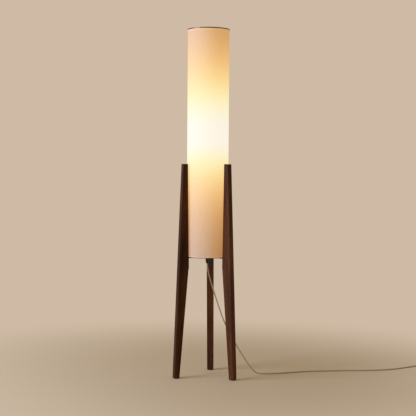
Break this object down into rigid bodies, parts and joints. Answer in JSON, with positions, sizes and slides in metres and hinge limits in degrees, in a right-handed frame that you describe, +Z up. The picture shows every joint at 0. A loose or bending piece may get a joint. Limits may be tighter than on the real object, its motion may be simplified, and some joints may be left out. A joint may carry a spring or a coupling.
{
  "type": "column floor lamp",
  "caption": "Column floor lamp: a tall cylindrical fabric shade held between tapered wooden legs on a folded steel bracket, with bulb, textile lead, foot switch and plug.",
  "frame": {"origin": "on the floor, at the bottom centre of the lamp's box without its lead; the shade's axis stands 31.4 mm towards -Y from it", "axes": "+Z up along the shade; +Y towards the rear leg; +X to the lamp's right as seen from the front"},
  "size_m": [1.277, 0.4885, 1.51],
  "materials": {
    "walnut": "satin oiled",
    "pad_rubber": "matt",
    "black_steel": "powder coat",
    "zinc_steel": "zinc plated",
    "grip_plastic": "moulded",
    "holder_plastic": "moulded",
    "ceramic": "unglazed",
    "shell_brass": "plain",
    "shade_fabric": "woven linen look",
    "shade_tape": "folded tape",
    "liner_plastic": "white film",
    "hoop_steel": "white enamel",
    "bronze_trim": "dark bronze",
    "opal_globe": "opal",
    "bulb_white": "moulded",
    "bulb_board": "plain",
    "cap_nickel": "nickel plated",
    "cap_insulator": "moulded",
    "cord_textile": "braided textile",
    "core_copper": "insulated cores",
    "tie_strap": "hook and loop",
    "switch_plastic": "moulded",
    "button_plastic": "moulded",
    "plug_plastic": "moulded",
    "relief_rubber": "moulded",
    "pin_nickel": "nickel plated"
  },
  "bodies": {
    "frame": {"leg_rear": "walnut", "leg_left": "walnut", "leg_right": "walnut", "foot_pad_rear": "pad_rubber", "foot_pad_left": "pad_rubber", "foot_pad_right": "pad_rubber", "leg_bracket": "black_steel", "hub_nut_lower": "black_steel", "hub_nut_upper": "black_steel", "hub_washer_lower": "black_steel", "hub_washer_upper": "black_steel", "riser_tube": "black_steel", "leg_screws": "zinc_steel", "pad_nails": "zinc_steel", "holder_set_screw": "zinc_steel", "switch_screws": "zinc_steel", "cord_grip": "grip_plastic", "holder_dome": "holder_plastic", "holder_sleeve": "holder_plastic", "holder_insert": "ceramic", "holder_shell": "shell_brass", "holder_contact": "shell_brass", "cord_drop": "cord_textile", "cord_lead": "cord_textile", "cord_coil": "cord_textile", "cord_end": "cord_textile", "inner_lead": "cord_textile", "lead_cores": "core_copper", "cord_tie": "tie_strap", "switch_base": "switch_plastic", "switch_cover": "switch_plastic", "switch_mechanism": "switch_plastic", "plug_body": "plug_plastic", "plug_relief": "relief_rubber", "switch_relief_in": "relief_rubber", "switch_relief_out": "relief_rubber", "plug_pins": "pin_nickel"},
    "shade": {"shade_fabric": "shade_fabric", "shade_liner": "liner_plastic", "shade_hoop_lower": "hoop_steel", "shade_hoop_upper": "hoop_steel", "shade_hem_lower": "shade_tape", "shade_hem_upper": "shade_tape", "shade_seam": "shade_fabric", "shade_top_trim": "bronze_trim"},
    "bulb": {"bulb_globe": "opal_globe", "bulb_skirt": "bulb_white", "bulb_board": "bulb_board", "bulb_cap": "cap_nickel", "bulb_insulator": "cap_insulator", "bulb_contact": "cap_nickel"},
    "switch_button": {"switch_button": "button_plastic"}
  },
  "joints": [
    {"name": "shade_lift", "type": "slide", "parent": "frame", "child": "shade", "axis": [0, 0, 1], "range_m": [0, 0.62]},
    {"name": "bulb_lift", "type": "slide", "parent": "frame", "child": "bulb", "axis": [0, 0, 1], "range_m": [0, 0.12]},
    {"name": "switch_press", "type": "slide", "parent": "frame", "child": "switch_button", "axis": [0, 0, -1], "range_m": [0, 0.0025], "stiffness_N_per_m": 400, "springref_m": -0.002}
  ]
}
